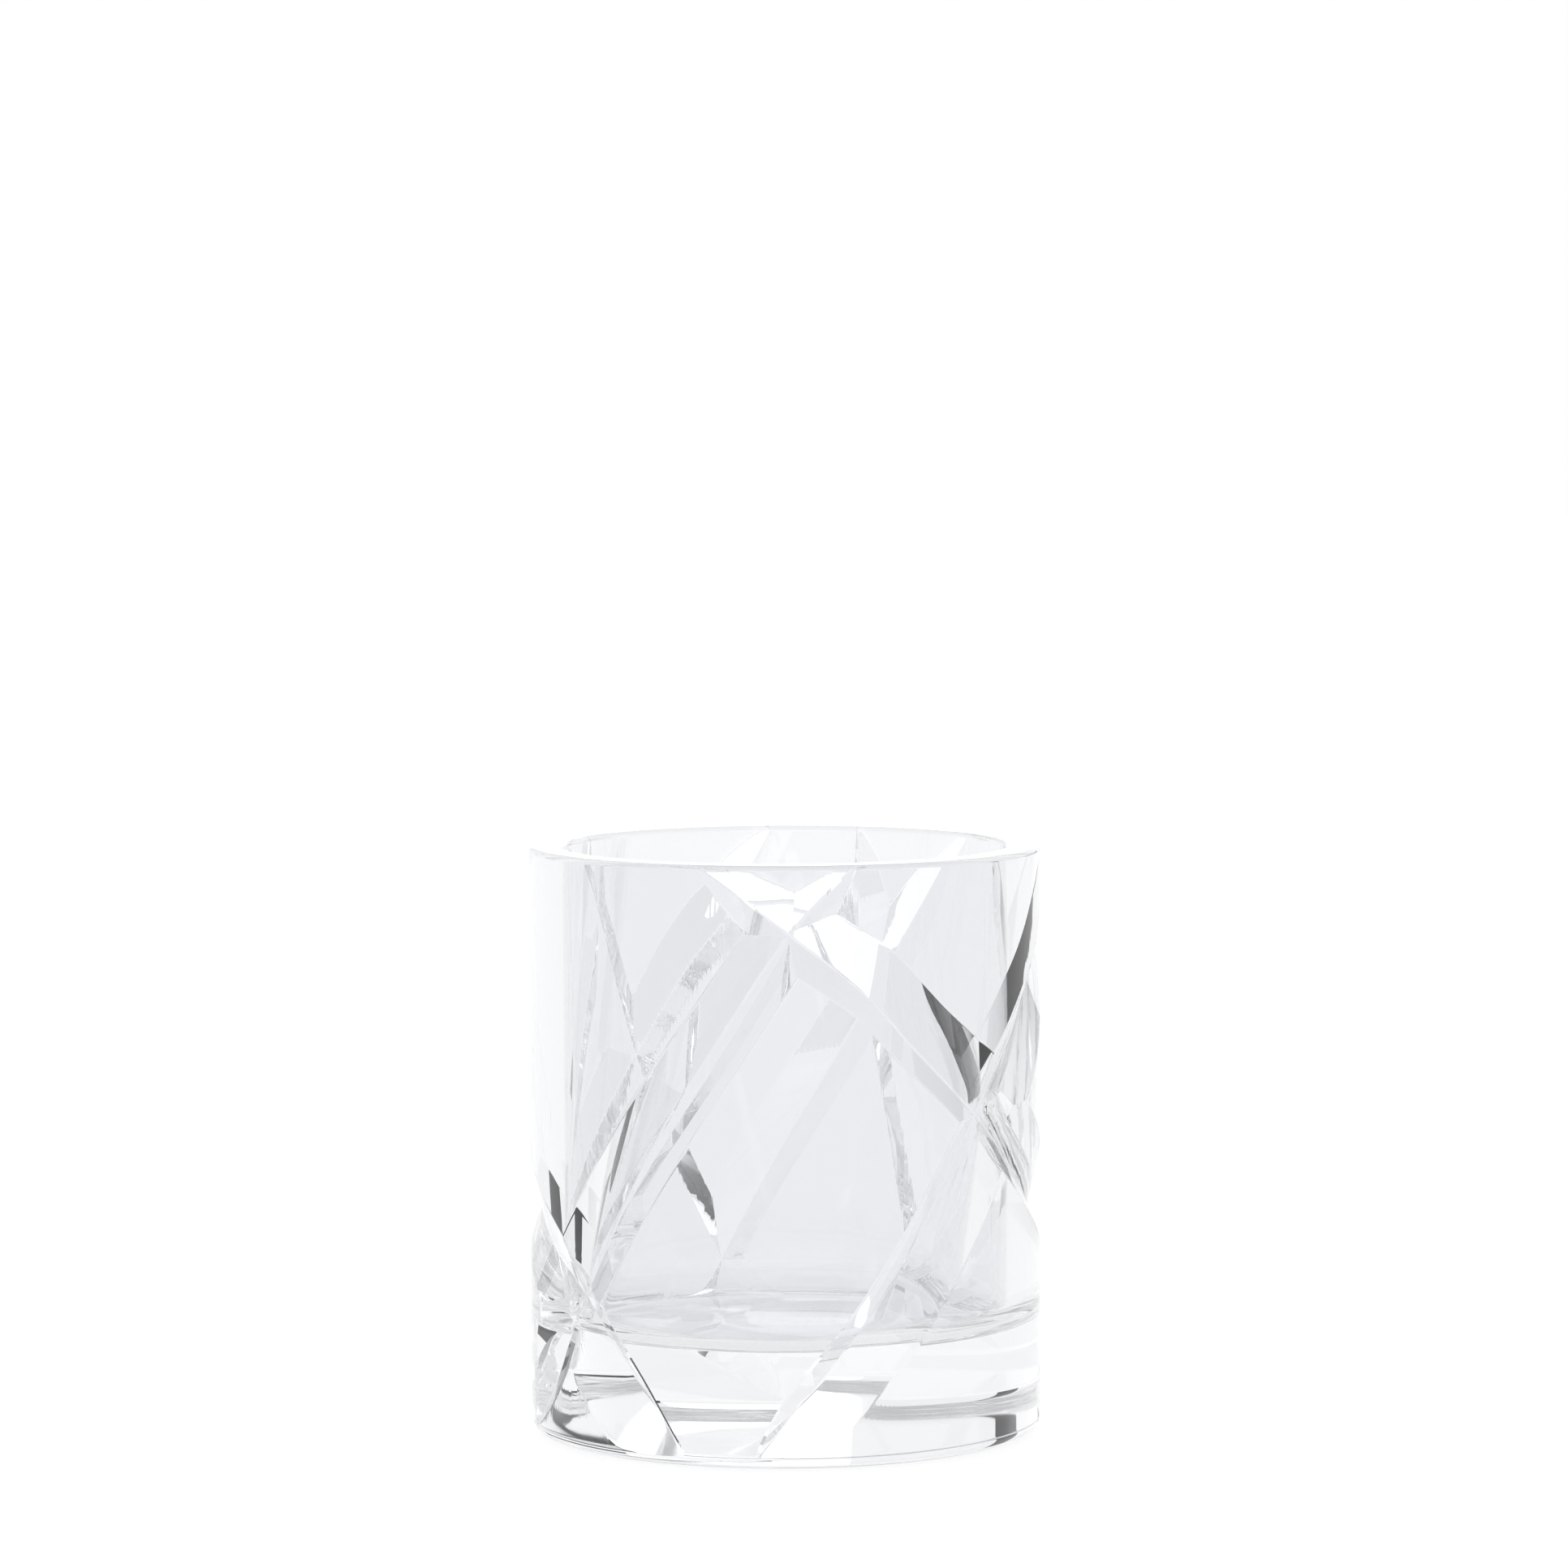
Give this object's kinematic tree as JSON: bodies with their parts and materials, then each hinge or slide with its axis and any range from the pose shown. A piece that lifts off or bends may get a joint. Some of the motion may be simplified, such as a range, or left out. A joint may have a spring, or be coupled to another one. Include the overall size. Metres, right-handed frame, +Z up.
{
  "type": "whiskey tumbler",
  "caption": "Straight-sided heavy-based cut crystal tumbler with long crossing V cuts round its side and a flat polished rim.",
  "frame": {"origin": "centre of the flat foot, on the surface it stands on", "axes": "+Z up along the cup's axis, -Y the front of the cut pattern, +X to the right seen from the front"},
  "size_m": [0.08, 0.08, 0.092],
  "materials": {
    "crystal": "clear cut crystal, polished all over"
  },
  "bodies": {
    "root": {"tumbler": "crystal"}
  },
  "joints": []
}
